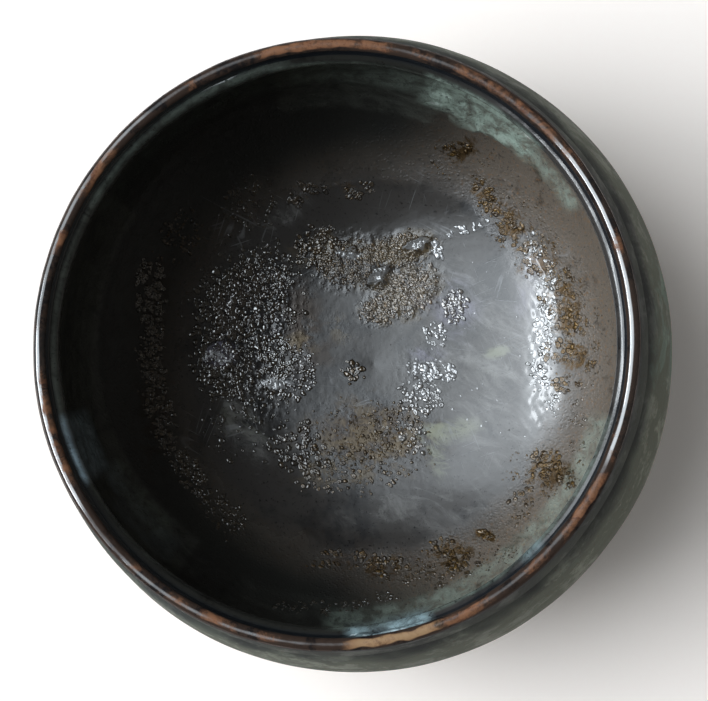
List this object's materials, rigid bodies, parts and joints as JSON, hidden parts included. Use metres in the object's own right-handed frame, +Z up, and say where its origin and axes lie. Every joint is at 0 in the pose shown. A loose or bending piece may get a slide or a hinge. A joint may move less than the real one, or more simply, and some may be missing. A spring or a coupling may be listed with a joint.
{
  "type": "tea bowl",
  "caption": "Round wheel-thrown stoneware tea bowl with a rounded lip, full belly, low foot ring and a dark variegated glaze inside and out.",
  "frame": {"origin": "middle of the face that the foot ring stands on", "axes": "+Z up along the axis the bowl was turned on, out of its mouth; +X to the right of the picture, +Y to its top"},
  "size_m": [0.1276, 0.1276, 0.072],
  "materials": {
    "bare_clay": "matt, unglazed brown stoneware",
    "iron_glaze": "glossy brown-black iron glaze with golden craters and blisters",
    "outer_glaze": "satin dark grey-green glaze with faint turning streaks",
    "lip_glaze": "glossy iron-brown and copper-brown, broken to black",
    "ash_glaze": "milky blue-green runs",
    "fused_grit": "golden brown glassy lumps"
  },
  "bodies": {
    "root": {"clay_body": "bare_clay", "foot_ring": "bare_clay", "inner_glaze": "iron_glaze", "lip_glaze": "lip_glaze", "outer_glaze": "outer_glaze", "ash_run_right": "ash_glaze", "ash_run_left": "ash_glaze", "ash_run_near": "ash_glaze", "glaze_lump_long": "fused_grit", "glaze_lump_bright": "fused_grit", "glaze_lump_small": "fused_grit"}
  },
  "joints": []
}
